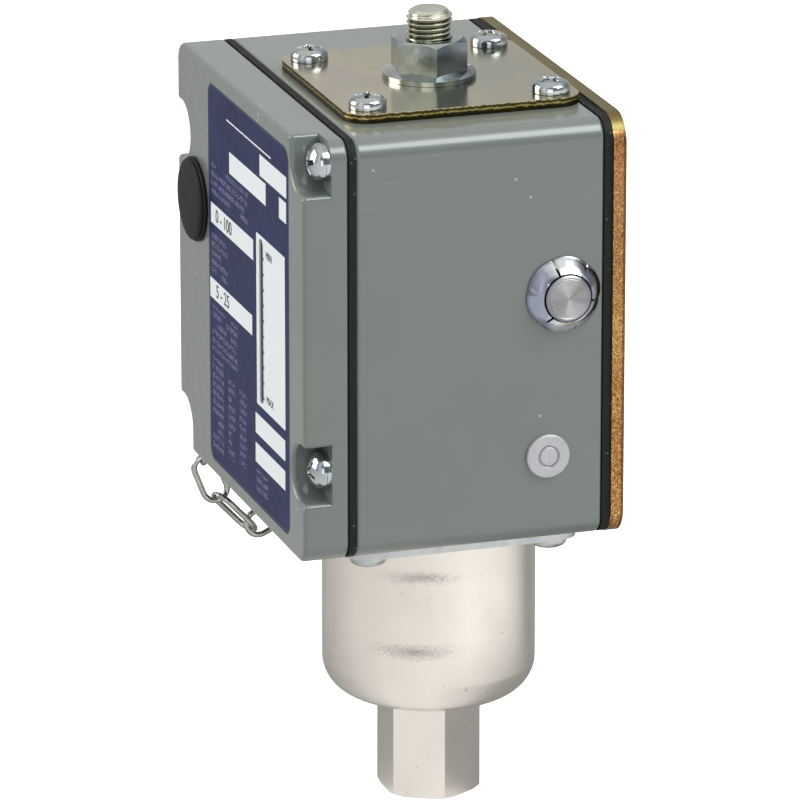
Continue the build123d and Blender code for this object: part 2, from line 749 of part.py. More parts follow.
nodes = {}
nodes["housing"] = make_housing()
nodes["front_gasket"] = make_front_gasket()
nodes["cover"] = make_cover()
label = label_prism(cover_front + touch_gap, cover_front + label_thickness, touch_gap)
nodes["label_plate"] = label - slot_prism(cover_front, cover_front + label_thickness, 0)
nodes["scale_window"] = slot_prism(cover_front + cover_wall, window_back, window_margin)
plug = rod_y(plug_x, plug_z, cover_front - plug_head, cover_front, plug_radius)
plug = fillet(plug.edges().group_by(Axis.Y)[0], 0.8)
plug_end = cover_front + cover_wall + plug_hold
nodes["hole_plug"] = plug + rod_y(plug_x, plug_z, cover_front, plug_end, plug_stem_radius)

cover_screw = pan_screw(flange_thickness + front_gasket_thickness + boss_length - 3.0)
nodes["cover_screws"] = Compound(children=[Pos(x, flange_face, z) * Rot(90, 0, 0) * cover_screw
                                           for x, z in cover_screw_places])
nodes["rear_gasket"] = make_rear_gasket()
nodes["back_plate"] = make_back_plate()
nodes["back_plate_screws"] = Compound(children=[Pos(x, back_face, z) * Rot(-90, 0, 0) * countersunk_screw()
                                                for x, z in rear_screws])
nodes["top_plate"] = square_plate(case_top, plate_top, stud_radius + running_gap)
top_screw = pan_screw(top_plate_thickness + case_wall + top_boss_length - 2.0)
nodes["top_plate_screws"] = Compound(children=[Pos(x, y, plate_top) * top_screw for x, y in plate_screws])
nodes["bottom_plate"] = square_plate(cup_top, cup_top + bottom_plate_thickness, rod_hole_radius)
bottom_screw = pan_screw(bottom_plate_thickness + pad_height + case_wall - 0.4)
nodes["bottom_plate_screws"] = Compound(children=[Pos(x, y, cup_top) * Rot(180, 0, 0) * bottom_screw
                                                  for x, y in plate_screws])

nodes["range_screw"] = make_range_screw()
nodes["range_nut"] = make_range_nut()
collar = rod_z(0, 0, collar_bottom, collar_bottom + collar_thickness, collar_radius)
nodes["screw_collar"] = collar - rod_z(0, 0, collar_bottom, collar_bottom + collar_thickness, stud_radius)
nodes["range_carriage"] = make_carriage()
nodes["range_pointer"] = make_pointer()
nodes["range_spring"] = make_spring()
nodes["guide_post"] = rod_z(guide_post_x, 0, screw_end, case_top - 1.0, guide_post_radius)

nodes["bellows_cup"] = make_cup()
nodes["pressure_connection"] = make_connection()
nodes["bellows"] = make_bellows()
nodes["push_rod"] = dome_rod(0, 0, cup_top - bellows_length + bellows_wall, arm_bottom - touch_gap,
                             push_rod_radius, (1,))
nodes["main_lever"] = make_main_lever()
nodes["lever_pin"] = make_lever_pin()
nodes["pivot_shaft"] = make_pivot_shaft()
nodes["shaft_cap"] = make_shaft_cap()
nodes["trip_link"] = dome_rod(link_x, link_y, arm_top + touch_gap, trip_bottom - touch_gap,
                              link_radius, (-1, 1))
nodes["trip_lever"] = make_trip_lever()

nodes["switch_bracket"] = make_bracket()
wall_screw = small_screw(bracket_thickness + small_screw_hold)
nodes["bracket_screws"] = Compound(children=[
    Pos(inner_left + bracket_thickness, bracket_screw_y, z) * Rot(0, 90, 0) * wall_screw
    for z in bracket_screw_levels])
nodes["snap_switch"] = make_switch()
nodes["switch_plunger"] = dome_rod(plunger_x, plunger_y, trip_top + touch_gap, switch_bottom + plunger_hold,
                                   plunger_radius, (-1,))
switch_screw = small_screw(bracket_thickness + switch_screw_hold)
nodes["switch_screws"] = Compound(children=[Pos(x, bracket_y, z) * Rot(90, 0, 0) * switch_screw
                                            for x, z in switch_screw_places])
nodes["differential_dial"] = make_dial()
cam = rod_y(plug_x + cam_offset, dial_z, cam_front, cam_front + cam_length, cam_radius)
nodes["differential_cam"] = cam - rod_y(plug_x, dial_z, cam_front, cam_front + cam_length, dial_shaft_radius)
nodes["differential_spring"] = make_leaf()
nodes["terminal_block"] = make_terminal_block()
terminal_screw = small_screw(terminal_screw_length)
nodes["terminal_screws"] = Compound(children=[Pos(x, terminal_y, terminal_z) * Rot(90, 0, 0) * terminal_screw
                                              for x in terminal_places])
nodes["ground_screw"] = Pos(ground_x, ground_y, inner_bottom) * small_screw(small_screw_hold)

pulls = chain_line()
sideways = Vector(1, 0, 0)
links = []
for i, (a, b) in enumerate(zip(pulls, pulls[1:])):
    upright = (b - a).normalized().cross(sideways)
    links.append(ring_link(a, b, upright if i % 2 == 0 else sideways))
nodes["retaining_chain"] = Compound(children=links)
nodes["cover_chain_eye"] = make_eye(chain_front_y)
nodes["housing_chain_eye"] = make_eye(chain_rear_y)

for name, shape in nodes.items():
    export_step(one_solid(shape), f"parts/{name}.step")
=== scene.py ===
from math import cos, hypot, radians, sin, tau

import bmesh
import bpy
from mathutils import Matrix, Vector


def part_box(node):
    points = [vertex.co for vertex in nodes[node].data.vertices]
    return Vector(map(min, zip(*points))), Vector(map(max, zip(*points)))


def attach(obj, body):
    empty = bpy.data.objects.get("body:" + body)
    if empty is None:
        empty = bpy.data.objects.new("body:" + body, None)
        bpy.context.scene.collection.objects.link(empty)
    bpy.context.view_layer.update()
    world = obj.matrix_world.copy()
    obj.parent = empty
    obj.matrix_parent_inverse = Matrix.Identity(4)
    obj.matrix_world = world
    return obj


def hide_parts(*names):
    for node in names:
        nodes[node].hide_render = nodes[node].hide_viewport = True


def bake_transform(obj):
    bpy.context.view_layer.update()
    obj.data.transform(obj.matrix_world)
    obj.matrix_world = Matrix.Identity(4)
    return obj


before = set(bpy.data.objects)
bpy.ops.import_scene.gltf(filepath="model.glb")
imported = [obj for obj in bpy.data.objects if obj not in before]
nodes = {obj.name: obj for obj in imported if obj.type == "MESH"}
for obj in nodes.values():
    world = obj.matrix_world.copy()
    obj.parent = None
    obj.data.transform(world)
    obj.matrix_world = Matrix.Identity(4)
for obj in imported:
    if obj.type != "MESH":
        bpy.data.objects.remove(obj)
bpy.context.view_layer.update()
mm = 0.001
print("frame loaded:", len(nodes), "CAD nodes")


# shader maths written as plain expressions

class Wire:
    def __init__(self, paint, socket):
        self.paint = paint
        self.socket = socket

    def maths(self, operation, first, second=0.0):
        return self.paint.maths(operation, first, second)

    def __add__(self, other):
        return self.maths("ADD", self, other)

    def __radd__(self, other):
        return self.maths("ADD", other, self)

    def __sub__(self, other):
        return self.maths("SUBTRACT", self, other)

    def __rsub__(self, other):
        return self.maths("SUBTRACT", other, self)

    def __mul__(self, other):
        return self.maths("MULTIPLY", self, other)

    def __truediv__(self, other):
        return self.maths("DIVIDE", self, other)

    def __pow__(self, other):
        return self.maths("POWER", self, other)

    def __gt__(self, other):
        return self.maths("GREATER_THAN", self, other)

    def __lt__(self, other):
        return self.maths("LESS_THAN", self, other)

    def __abs__(self):
        return self.maths("ABSOLUTE", self)

    def top(self, other):
        return self.maths("MAXIMUM", self, other)

    def floor(self):
        return self.maths("FLOOR", self)

    def part(self):
        return self.maths("FRACT", self)

    def sine(self):
        return self.maths("SINE", self)


class Paint:
    def __init__(self, name, owner="materials", output="ShaderNodeOutputMaterial", place="Object"):
        self.material = getattr(bpy.data, owner).new(name)
        self.material.use_nodes = True
        self.tree = self.material.node_tree
        self.tree.nodes.clear()
        self.output = self.tree.nodes.new(output)
        self.place = self.node("ShaderNodeTexCoord", out=place)
        self.x, self.y, self.z = self.axes(self.place)

    def node(self, kind, settings=None, sockets=None, out=0):
        made = self.tree.nodes.new(kind)
        for key, value in (settings or {}).items():
            if key == "stops":
                while len(made.color_ramp.elements) < len(value):
                    made.color_ramp.elements.new(0.5)
                for stop, (at, colour) in zip(made.color_ramp.elements, value):
                    stop.position = at
                    stop.color = colour if len(colour) == 4 else (*colour, 1)
            else:
                setattr(made, key, value)
        for key, value in (sockets or {}).items():
            if isinstance(value, Wire):
                self.tree.links.new(value.socket, made.inputs[key])
            else:
                made.inputs[key].default_value = value
        return Wire(self, made.outputs[out])

    def axes(self, vector):
        split = self.node("ShaderNodeSeparateXYZ", {}, {0: vector}).socket.node
        return [Wire(self, split.outputs[i]) for i in range(3)]

    def maths(self, operation, first, second=0.0):
        return self.node("ShaderNodeMath", {"operation": operation}, {0: first, 1: second})

    def stretched(self, x, y, z):
        return self.node("ShaderNodeMapping", {}, {"Vector": self.place, "Scale": (x, y, z)})

    def noise(self, scale, detail=3, roughness=0.5, where=None):
        return self.node("ShaderNodeTexNoise", {}, {
            "Vector": where or self.place, "Scale": scale, "Detail": detail, "Roughness": roughness})

    def cells(self, scale, where=None, out="Distance"):
        return self.node("ShaderNodeTexVoronoi", {}, {"Vector": where or self.place, "Scale": scale}, out)

    def lot(self, scale, where=None):                      # one random value per cell
        return self.node("ShaderNodeSeparateColor", {}, {0: self.cells(scale, where, "Color")})

    def scatter(self, where):
        return self.node("ShaderNodeTexWhiteNoise", {}, {"Vector": where}, "Value")

    def triple(self, x, y, z):
        return self.node("ShaderNodeCombineXYZ", {}, {0: x, 1: y, 2: z})

    def between(self, value, low, high):
        sockets = {"Value": value, "From Min": low, "From Max": high}
        return self.node("ShaderNodeMapRange", {"clamp": True}, sockets)

    def ramp(self, value, stops):
        return self.node("ShaderNodeValToRGB", {"stops": stops}, {0: value})

    def mix(self, factor, first, second):
        sockets = {0: factor, 6: rgba(first), 7: rgba(second)}
        return self.node("ShaderNodeMix", {"data_type": "RGBA"}, sockets, 2)

    def tint(self, colour, factor):
        settings = {"data_type": "RGBA", "blend_type": "MULTIPLY"}
        return self.node("ShaderNodeMix", settings, {0: 1.0, 6: rgba(colour), 7: factor}, 2)

    def bump(self, height, depth, strength=1.0, normal=None):
        sockets = {"Height": height, "Distance": depth, "Strength": strength}
        if normal:
            sockets["Normal"] = normal
        return self.node("ShaderNodeBump", {}, sockets)

    def around(self, middle, flat):
        gaps = [axis - at for axis, at in zip((self.x, self.y, self.z), middle)]
        first, second = (gaps[i] for i in range(3) if i != flat)
        return (first * first + second * second) ** 0.5

    def bearing(self):                                     # 0 at -X, 0.25 at -Y, 0.5 at +X, 0.75 at +Y
        return self.maths("ARCTAN2", self.y, self.x) / tau + 0.5

    def toward(self, axis):
        return self.axes(self.node("ShaderNodeTexCoord", out="Normal"))[axis]

    def finish(self, **sockets):
        named = {key.replace("_", " "): value for key, value in sockets.items()}
        skin = self.node("ShaderNodeBsdfPrincipled", {}, {k: rgba(v) for k, v in named.items()})
        self.show(skin)
        return self.material

    def show(self, shader):
        self.tree.links.new(shader.socket, self.output.inputs["Surface"])


def rgba(value):
    return (*value, 1) if isinstance(value, tuple) and len(value) == 3 else value


def grey(level):
    return (level, level, level)


# finishes

enamel = {"colour": (0.152, 0.174, 0.160), "shade": (0.135, 0.157, 0.147), "chip": (0.42, 0.43, 0.41),
          "dirt": (0.05, 0.05, 0.045), "roughness": 0.36}


def paintedCasting():
    p = Paint("greyEnamel")
    cloud = p.between(p.noise(28, 4, 0.6), 0.3, 0.7)
    colour = p.mix(cloud, enamel["colour"], enamel["shade"])
    darkSpeck = (p.cells(210) < 0.075) * (p.lot(210) > 0.90)  # one cell in ten holds a speck
    paleSpeck = (p.cells(160) < 0.07) * (p.noise(60, 0) > 0.62)
    fineLines = p.noise(1, 2, 0.5, p.stretched(160, 60, 2400))
    areas = p.noise(46, 1)
    scratch = (fineLines > 0.735) * (areas > 0.57)
    colour = p.mix(paleSpeck * 0.6, colour, enamel["chip"])
    colour = p.mix(scratch * 0.35, colour, enamel["chip"])
    colour = p.mix(darkSpeck * 0.7, colour, enamel["dirt"])
    peel = p.noise(850, 2, 0.4)
    pits = p.between(p.cells(420), 0.0, 0.12)
    skin = p.bump(peel, 0.00003, 0.2)
    skin = p.bump(pits, 0.00002, 0.25, skin)
    rough = enamel["roughness"] + (p.noise(240, 3) - 0.5) * 0.16 + darkSpeck * 0.3
    return p.finish(Base_Color=colour, Roughness=rough, Normal=skin, IOR=1.5,
                    Coat_Weight=0.8, Coat_Roughness=0.13)


def sheetRubber():
    p = Paint("blackRubber")
    dust = (p.cells(900) < 0.16) * (p.noise(500, 1) > 0.60)
    colour = p.mix(p.noise(600, 3), (0.006, 0.007, 0.007), (0.014, 0.015, 0.015))
    colour = p.mix(dust * 0.7, colour, (0.22, 0.22, 0.20))
    return p.finish(Base_Color=colour, Roughness=p.between(p.noise(900, 2), 0.2, 1.2) * 0.3 + 0.55,
                    Normal=p.bump(p.noise(1500, 3), 0.00004, 0.6), Specular_IOR_Level=0.22)


def mouldedBlack(name, colour, roughness, grain=1800, shine=0.5):
    p = Paint(name)
    shade = p.tint(colour, p.ramp(p.noise(90, 3), [(0.3, grey(0.8)), (0.7, grey(1.15))]))
    return p.finish(Base_Color=shade, Roughness=roughness + (p.noise(300, 2) - 0.5) * 0.2,
                    Normal=p.bump(p.noise(grain, 3), 0.00003, 0.45), Specular_IOR_Level=shine)


def platedZinc(name, colour, tone, roughness=0.2, lift=1.0, shading=None):
    p = Paint(name)
    cloud = p.between(p.noise(230, 3, 0.6), 0.32, 0.68)
    body = p.mix(cloud, colour, tone)
    warm = p.between(p.noise(120, 2), 0.55, 0.75)
    body = p.mix(warm * 0.35, body, (0.72, 0.70, 0.50))
    if shading:
        body = shading(p, body)
    grain = p.noise(2600, 2, 0.6)
    dents = p.noise(420, 2)
    return p.finish(Base_Color=body, Metallic=1.0,
                    Roughness=roughness + (p.noise(700, 3) - 0.5) * 0.18 * lift,
                    Normal=p.bump(grain, 0.00001, 0.35, p.bump(dents, 0.00006 * lift, 0.30)))


stud = {"crest": 4.74, "root": 4.08, "pitch": 1.058, "bottom": 150.0, "top": 168.38, "chamfer": 1.2,
        "face": 3.5, "steps": 56, "grooveShadeRadii": (4.18, 4.66), "grooveShadeTop": 166.9,
        "grooveShadeColour": (0.075, 0.075, 0.035),
        "leadCrest": 3.96, "leadRoot": 3.1, "leadPitch": 2.0, "leadBottom": 98.25, "leadSteps": 32}


# painted shade: the stud's thread is darker and browner at its root
def grooveShade(p, body):
    full, none = stud["grooveShadeRadii"]
    depth = 1 - p.between(p.around((0, 0, 0), 2), full * mm, none * mm)
    threaded = (p.z > stud["bottom"] * mm) * (p.z < stud["grooveShadeTop"] * mm)
    return p.mix(depth * threaded * 0.9, body, stud["grooveShadeColour"])


# painted reflection: the cap's slopes that face the front or the back are tinted dark blue
def flankReflections(p, body):
    flank = p.between(abs(p.toward(1)) + (p.noise(500, 2) - 0.5) * 0.3, 0.22, 0.50)
    return p.mix(flank * 0.72, body, (0.15, 0.18, 0.28))


# painted reflection: the nut's flats are darker where they face the back, and near their tops
def nutReflections(p, body):
    body = p.mix(p.between(p.toward(1), 0.15, 0.30) * 0.8, body, (0.13, 0.16, 0.20))
    upperReflection = p.between(p.z, 161 * mm, 163 * mm) * (abs(p.toward(2)) < 0.3)
    return p.mix(upperReflection * 0.4, body, (0.20, 0.24, 0.20))


chromate = {"gold": (0.62, 0.57, 0.39), "olive": (0.52, 0.51, 0.38), "rose": (0.56, 0.50, 0.42),
            "blue": (0.45, 0.48, 0.44), "copper": (0.33, 0.15, 0.05), "dark": (0.10, 0.045, 0.015),
            "deep": (0.36, 0.34, 0.26), "calm": (0.54, 0.51, 0.36), "red": (0.34, 0.13, 0.065),
            "upFacingReflection": (0.19, 0.17, 0.065)}
topPlate = {"under": 152.2, "thick": 2.0, "shadeFrom": -22, "shadeTo": 26}
backPlate = {"lipFrom": 28.9}


def rainbowFilm(p, scale):
    film = p.noise(scale, 3, 0.55)
    return p.ramp(film, [(0.28, chromate["blue"]), (0.40, chromate["olive"]), (0.52, chromate["gold"]),
                         (0.64, chromate["rose"]), (0.74, chromate["olive"])])


def topChromate():
    p = Paint("yellowZincTop")
    film = rainbowFilm(p, 34)
    film = p.mix(p.between(p.noise(300, 3), 0.4, 0.8) * 0.3, film, chromate["gold"])
    edge = abs(p.toward(2)) < 0.5
    level = (p.z - topPlate["under"] * mm) / (topPlate["thick"] * mm) + (p.noise(760, 4, 0.7) - 0.5) * 0.6
    sheared = p.ramp(level, [(0.0, (0.03, 0.025, 0.01)), (0.42, (0.05, 0.04, 0.015)),
                             (0.55, (0.70, 0.55, 0.20)), (0.68, (0.07, 0.055, 0.02)),
                             (0.88, (0.10, 0.08, 0.03)), (0.95, (0.75, 0.68, 0.42))])
    shade = p.between(p.y, topPlate["shadeFrom"] * mm, topPlate["shadeTo"] * mm)
    film = p.mix(shade * 0.55, film, chromate["deep"])     # painted shade: the film is darker toward the back plate
    film = p.mix(edge, film, sheared)
    rolled = p.noise(1, 3, 0.5, p.stretched(120, 4200, 120))
    marks = (p.noise(1, 1, 0.5, p.stretched(1900, 110, 600)) > 0.74) * (p.noise(70, 1) > 0.5)
    skin = p.bump(rolled, 0.000008, 0.4, p.bump(p.noise(160, 2), 0.00012, 0.25))
    rough = 0.16 + (p.noise(420, 3) - 0.4) * 0.16 + marks * 0.2 + edge * 0.2
    return p.finish(Base_Color=film, Metallic=1.0, Roughness=rough, Normal=skin)


def backChromate():
    p = Paint("yellowZincBack")
    film = p.mix(0.45, rainbowFilm(p, 26), chromate["calm"])
    edge = abs(p.toward(1)) < 0.5
    grain = p.lot(4600, p.stretched(1.0, 1.0, 0.7))
    broad = p.noise(60, 3, 0.7)
    sheared = p.ramp(grain * 0.62 + broad * 0.40, [(0.16, chromate["dark"]), (0.40, chromate["copper"]),
                                                  (0.64, (0.46, 0.25, 0.08)), (0.84, (0.72, 0.50, 0.22))])
    lip = edge * (p.y > backPlate["lipFrom"] * mm)
    sheared = p.mix(p.between(p.noise(38, 1), 0.45, 0.62) * 0.45, sheared, chromate["red"])
    film = p.mix(edge, film, sheared)
    film = p.mix(lip * 0.7, film, chromate["dark"])
    # painted reflection: the plate's up-facing edge is given a dark olive colour
    film = p.mix((p.toward(2) > 0.5) * 0.8, film, chromate["upFacingReflection"])
    skin = p.bump(grain * edge, 0.00012, 0.8, p.bump(p.noise(900, 3), 0.00002, 0.5))
    rough = 0.24 + (p.noise(300, 3) - 0.4) * 0.2 + edge * 0.14
    return p.finish(Base_Color=film, Metallic=1.0, Roughness=rough, Normal=skin)


shaft = {"middle": (0, 16.3 * mm, 116.6 * mm), "ring": 0.16 * mm, "rim": 4.1 * mm}
rivet = {"middle": (0, 13.2 * mm, 82.6 * mm), "ring": 2.1 * mm, "marked": 3.4 * mm}


def turnedSteel():
    p = Paint("turnedSteel")
    radius = p.around(shaft["middle"], 0)
    fine = (radius * (tau / shaft["ring"])).sine()
    wander = p.noise(1, 3, 0.7, p.triple(radius * 9000, 0.0, 0.0))
    rimLine = p.between(abs(radius - shaft["rim"]), 0.0, 0.12 * mm)
    turn = p.maths("ARCTAN2", p.z - shaft["middle"][2], p.y - shaft["middle"][1])
    # painted highlight: two light and two dark sectors, as light falls on a turned face
    fan = ((turn * 2 - 1.9).sine() * 0.5 + 0.5) ** 2.0
    fan = fan * 0.8 + p.between((turn * 7).sine(), -1.0, 1.0) * 0.12
    colour = p.mix(wander, (0.20, 0.20, 0.205), (0.30, 0.30, 0.305))
    colour = p.mix(fan, colour, (0.54, 0.54, 0.55))
    skin = p.bump(wander, 0.00005, 0.55, p.bump(fine, 0.00002, 0.4, p.bump(rimLine, 0.00008, 0.7)))
    return p.finish(Base_Color=colour, Metallic=1.0, Normal=skin,
                    Roughness=0.26 + (p.noise(900, 2) - 0.5) * 0.1)


def rivetHead():
    p = Paint("rivetSteel")
    radius = p.around(rivet["middle"], 0) + (p.noise(300, 3) - 0.5) * 0.0009
    ring = 1 - p.between(abs(radius - rivet["ring"]), 0.04 * mm, 0.32 * mm)
    colour = p.mix(p.noise(620, 4, 0.6), (0.42, 0.415, 0.44), (0.56, 0.555, 0.575))
    marks = (p.noise(1, 2, 0.6, p.stretched(300, 500, 1900)) > 0.66) * (radius < rivet["marked"])
    colour = p.mix(marks * 0.55, colour, (0.26, 0.26, 0.27))
    # painted shade: the ring's groove is darkened
    colour = p.mix(ring * 0.75, colour, (0.17, 0.17, 0.18))
    skin = p.bump(p.noise(480, 4), 0.00022, 0.7, p.bump(ring, -0.00018, 0.9))
    return p.finish(Base_Color=colour, Metallic=0.6, Normal=skin,
                    Roughness=0.50 + (p.noise(260, 2) - 0.5) * 0.2)


# painted reflections, dark patches on the cup's side: bearing in degrees, height in mm, half width in
# radians, half height in mm
nickel = {"warm": (0.810, 0.762, 0.690), "cool": (0.735, 0.690, 0.625), "smudgeAndReflection": (0.20, 0.19, 0.17),
          "darkReflections": [(-22, 53.2, 0.34, 1.5), (-26, 37.0, 0.38, 1.6)]}


def satinNickel():
    p = Paint("satinNickel")
    cloud = p.between(p.noise(46, 4, 0.6), 0.3, 0.7)
    colour = p.mix(cloud, nickel["warm"], nickel["cool"])
    drawn = p.noise(1, 3, 0.6, p.stretched(900, 900, 26))
    smudgeAndReflection = p.between(p.noise(1, 4, 0.65, p.stretched(75, 75, 60)), 0.64, 0.78)
    colour = p.mix(smudgeAndReflection * 0.22, colour, (0.42, 0.39, 0.35))
    turn = p.maths("ARCTAN2", p.y, p.x)
    reflectionEdgeNoise = p.noise(1, 3, 0.75, p.stretched(1500, 1500, 4600))
    # painted reflection: dark patches on the cup's side, in the darker of the two smudge colours
    for at, level, wide, tall in nickel["darkReflections"]:
        across = (turn - radians(at)) / wide
        up = (p.z - level * mm + (p.noise(120, 2) - 0.5) * 0.0016) / (tall * mm)
        reflectionPatch = p.between((across * across + up * up) ** 0.5 + (reflectionEdgeNoise - 0.5) * 3.2, 1.15, -0.35)
        colour = p.mix(reflectionPatch * 0.8, colour, nickel["smudgeAndReflection"])
    nick = (p.noise(1, 2, 0.6, p.stretched(620, 620, 980)) > 0.70) * (p.noise(90, 2) > 0.53)
    colour = p.mix(nick * 0.45, colour, (0.40, 0.37, 0.34))
    skin = p.bump(drawn, 0.00002, 0.35, p.bump(p.noise(1300, 3), 0.000015, 0.5))
    rough = 0.27 + (p.noise(150, 3) - 0.5) * 0.16 + smudgeAndReflection * 0.12
    return p.finish(Base_Color=colour, Metallic=1.0, Roughness=rough, Normal=skin)


def wireSteel(name, colour, roughness):
    p = Paint(name)
    body = p.tint(colour, p.ramp(p.noise(500, 3), [(0.3, grey(0.78)), (0.7, grey(1.1))]))
    return p.finish(Base_Color=body, Metallic=1.0, Roughness=roughness + (p.noise(800, 2) - 0.5) * 0.15,
                    Normal=p.bump(p.noise(1800, 2), 0.00001, 0.4))


def smokedWindow():
    p = Paint("clearWindow")
    haze = p.between(p.noise(300, 3), 0.3, 0.7)
    return p.finish(Base_Color=p.mix(haze, (0.060, 0.060, 0.095), (0.085, 0.085, 0.125)),
                    Roughness=0.2 + haze * 0.1, Alpha=0.90 + haze * 0.08,
                    Normal=p.bump(p.noise(500, 2), 0.00001, 0.3))


# the label's print: boxes are x from, x to, z from, z to in millimetres on the cover's face
label = {
    "navy": (0.007, 0.013, 0.064), "navyLight": (0.011, 0.019, 0.080), "white": (0.72, 0.76, 0.80),
    "ink": (0.022, 0.026, 0.060), "lilac": (0.23, 0.24, 0.40), "rim": (0.20, 0.21, 0.27),
    "middle": (-0.75, 108.2), "half": (28.0, 40.8), "corner": 3.0,
    "fields": [(-14, 11.4, 133, 137.6), (7.3, 25.5, 138.3, 142.8), (20.5, 25.3, 133, 137.4),
               (-27.4, 2.5, 119, 123.4), (-28.3, 1.5, 102.7, 107), (4.6, 24.2, 89.2, 125.75),
               (3.5, 24, 82.6, 87), (3.4, 23.9, 76.3, 80.5),
               (-15.8, 15.0, 143.75, 144.1)],
    "typed": [(-27, -1, 124.6, 132.2), (-27, -15.5, 108.4, 117.8), (-27, -9, 91.5, 101.4),
              (-27, -19, 69.5, 90.2), (-16, -11, 71.3, 88.3), (-8, -3, 71.3, 88.3), (4, 12, 70.0, 75.0)],
    "rowPitch": 1.9, "rowFill": 0.62, "glyph": 0.28, "scale": (9.1, 10.1, 91.2, 124.2), "tickPitch": 3.3,
    "lineWidth": 0.30, "tickLength": 0.55,
}


def labelPrint():
    p = Paint("labelPrint")
    x, z = p.x / mm, p.z / mm

    def area(x0, x1, z0, z1):
        return (x > x0) * (x < x1) * (z > z0) * (z < z1)

    def areas(boxes):
        total = area(*boxes[0])
        for one in boxes[1:]:
            total = total.top(area(*one))
        return total

    (midX, midZ), (halfX, halfZ), corner = label["middle"], label["half"], label["corner"]
    overX = (abs(x - midX) - (halfX - corner)).top(0.0)
    overZ = (abs(z - midZ) - (halfZ - corner)).top(0.0)
    edge = corner - (overX * overX + overZ * overZ) ** 0.5  # depth in from the rounded outline
    colour = p.mix(p.between(p.noise(70, 2), 0.3, 0.7), label["navy"], label["navyLight"])
    row = z / label["rowPitch"]
    inRow = row.part() < label["rowFill"]
    size = label["glyph"]
    glyph = p.scatter(p.triple((x / size).floor(), (z / (size * 1.3)).floor(), 0.0)) > 0.42
    letter = (x / (size * 4)).part() < 0.78
    word = p.scatter(p.triple((x / (size * 12)).floor(), row.floor(), 3.0)) > 0.16
    typed = areas(label["typed"]) * inRow * glyph * letter * word
    white = areas(label["fields"])
    line, bottom = label["scale"][0], label["scale"][2]
    beat = ((z - bottom) / label["tickPitch"]).part()
    wave = abs(beat - 0.5)                                 # the scale line swells between its ticks
    reach = line + label["lineWidth"] + (beat < 0.2) * label["tickLength"] - wave * 0.25
    tick = area(*label["scale"]) * (x < reach)
    rim = (edge > 0.25) * (edge < 0.5)
    colour = p.mix(typed * 0.55, colour, label["lilac"])
    colour = p.mix(rim * 0.25, colour, label["rim"])
    colour = p.mix(white, colour, label["white"])
    colour = p.mix(tick * 0.9, colour, label["ink"])
    ink = (typed * 0.4).top(white * 0.5)
    skin = p.bump(ink, 0.00001, 0.5, p.bump(p.noise(1400, 3), 0.00001, 0.35))
    rough = 0.42 + (p.noise(400, 2) - 0.5) * 0.14 + white * 0.12
    return p.finish(Base_Color=colour, Roughness=rough, Normal=skin, Specular_IOR_Level=0.14)


castingPaint = paintedCasting()
rubber = sheetRubber()
labelInk = labelPrint()
window = smokedWindow()
plugBlack = mouldedBlack("plugBlack", (0.008, 0.008, 0.009), 0.56, 1300, 0.2)
mouldBlack = mouldedBlack("blackPlastic", (0.018, 0.018, 0.020), 0.42)
phenolic = mouldedBlack("darkPhenolic", (0.040, 0.024, 0.016), 0.38)
goldTop = topChromate()
goldBack = backChromate()
zinc = platedZinc("brightZinc", (0.52, 0.55, 0.56), (0.34, 0.39, 0.43), 0.12, 0.7)
# painted shade: near-black plating for the faces deep in the screws' cross recesses
recessShadeZinc = platedZinc("recessShadeZinc", (0.10, 0.10, 0.10), (0.05, 0.05, 0.05), 0.35)
dullZinc = platedZinc("dullZinc", (0.50, 0.51, 0.50), (0.38, 0.40, 0.41), 0.28)
nutZinc = platedZinc("nutZinc", (0.50, 0.54, 0.51), (0.32, 0.36, 0.35), 0.17, 1.0, nutReflections)
threadZinc = platedZinc("threadZinc", (0.76, 0.76, 0.66), (0.58, 0.58, 0.50), 0.17, 0.5, grooveShade)
capZinc = platedZinc("capZinc", (0.86, 0.87, 0.90), (0.72, 0.75, 0.84), 0.09, 0.4, flankReflections)
chainSteel = platedZinc("chainSteel", (0.52, 0.53, 0.50), (0.34, 0.35, 0.34), 0.13, 0.5)
greenZinc = platedZinc("greenZinc", (0.16, 0.42, 0.18), (0.10, 0.30, 0.14), 0.3)
steelFace = turnedSteel()
rivetPaint = rivetHead()
nickelSkin = satinNickel()
springWire = wireSteel("springSteel", (0.46, 0.46, 0.47), 0.30)
leverSteel = wireSteel("leverSteel", (0.55, 0.54, 0.50), 0.34)
bellowsMetal = wireSteel("bellowsBrass", (0.66, 0.47, 0.20), 0.25)
screwBrass = wireSteel("brassScrews", (0.72, 0.52, 0.22), 0.24)

finishOf = {
    "housing": castingPaint, "cover": castingPaint, "front_gasket": rubber, "rear_gasket": rubber,
    "label_plate": labelInk, "scale_window": window, "hole_plug": plugBlack, "cover_screws": zinc,
    "back_plate": goldBack, "back_plate_screws": zinc, "top_plate": goldTop, "top_plate_screws": zinc,
    "bottom_plate": dullZinc, "bottom_plate_screws": dullZinc, "range_screw": threadZinc,
    "range_nut": nutZinc, "screw_collar": leverSteel, "range_carriage": leverSteel,
    "range_pointer": screwBrass, "range_spring": springWire, "guide_post": leverSteel,
    "bellows_cup": nickelSkin, "pressure_connection": nickelSkin, "bellows": bellowsMetal,
    "push_rod": leverSteel, "main_lever": leverSteel, "lever_pin": rivetPaint,
    "pivot_shaft": steelFace, "shaft_cap": capZinc, "trip_link": leverSteel, "trip_lever": leverSteel,
    "switch_bracket": leverSteel, "bracket_screws": zinc, "snap_switch": mouldBlack,
    "switch_plunger": mouldBlack, "switch_screws": zinc, "differential_dial": mouldBlack,
    "differential_cam": screwBrass, "differential_spring": springWire, "terminal_block": phenolic,
    "terminal_screws": screwBrass, "ground_screw": greenZinc, "retaining_chain": chainSteel,
    "cover_chain_eye": chainSteel, "housing_chain_eye": chainSteel,
}
